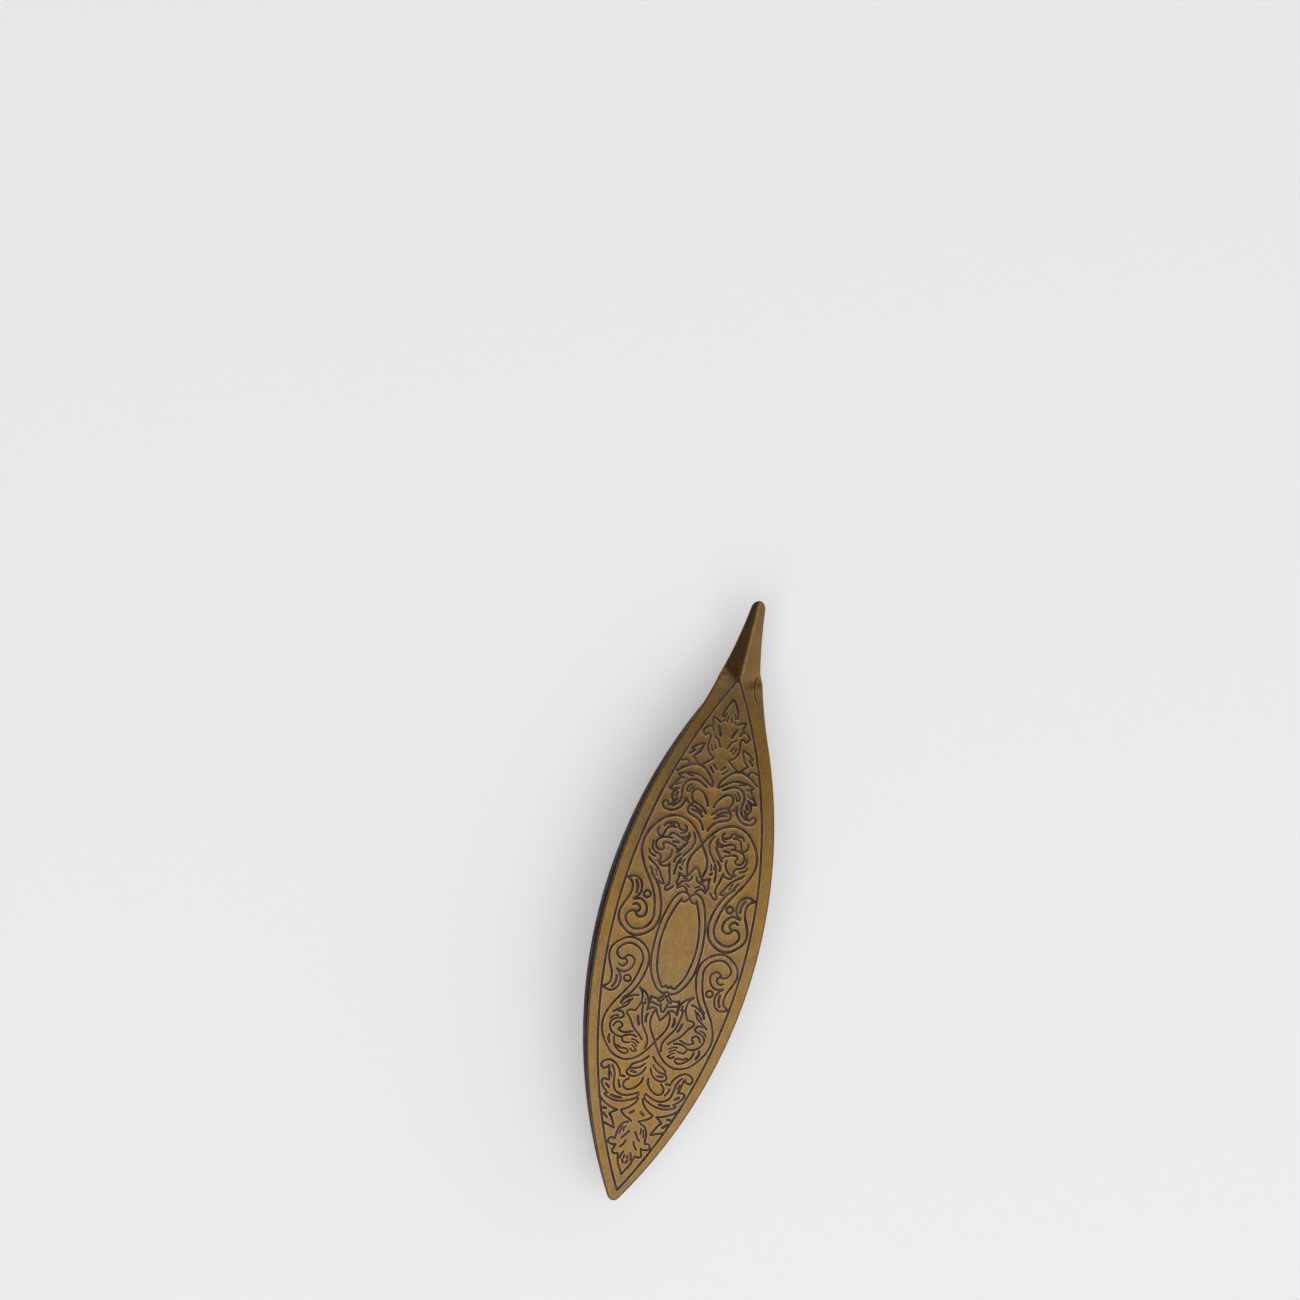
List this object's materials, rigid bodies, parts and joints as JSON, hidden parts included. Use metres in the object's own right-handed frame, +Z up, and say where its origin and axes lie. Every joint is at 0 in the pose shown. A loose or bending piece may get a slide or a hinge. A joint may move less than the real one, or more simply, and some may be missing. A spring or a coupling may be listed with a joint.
{
  "type": "tatting shuttle",
  "caption": "Hand-held thread shuttle with sprung leaf-shaped metal blades on a drilled post and a folded pick at one end.",
  "frame": {"origin": "middle of the thread hole, on the shuttle's centre line and halfway between the two blades", "axes": "+X along the shuttle towards the pick, +Y across the shuttle along the thread hole, +Z up through the engraved blade that carries the pick"},
  "size_m": [0.0888, 0.0232, 0.011],
  "materials": {
    "upper_blade": "antique bronze plate over pressed sheet, satin, with dark patina in the engraving",
    "lower_blade": "antique bronze plate over pressed sheet, satin, with dark patina in the engraving",
    "center_post": "antique bronze plate, satin, darker inside the shuttle",
    "solder": "plated-over solder, slightly uneven"
  },
  "bodies": {
    "root": {"upper_blade": "upper_blade", "lower_blade": "lower_blade", "center_post": "center_post", "upper_solder_seam": "solder", "lower_solder_seam": "solder"}
  },
  "joints": []
}
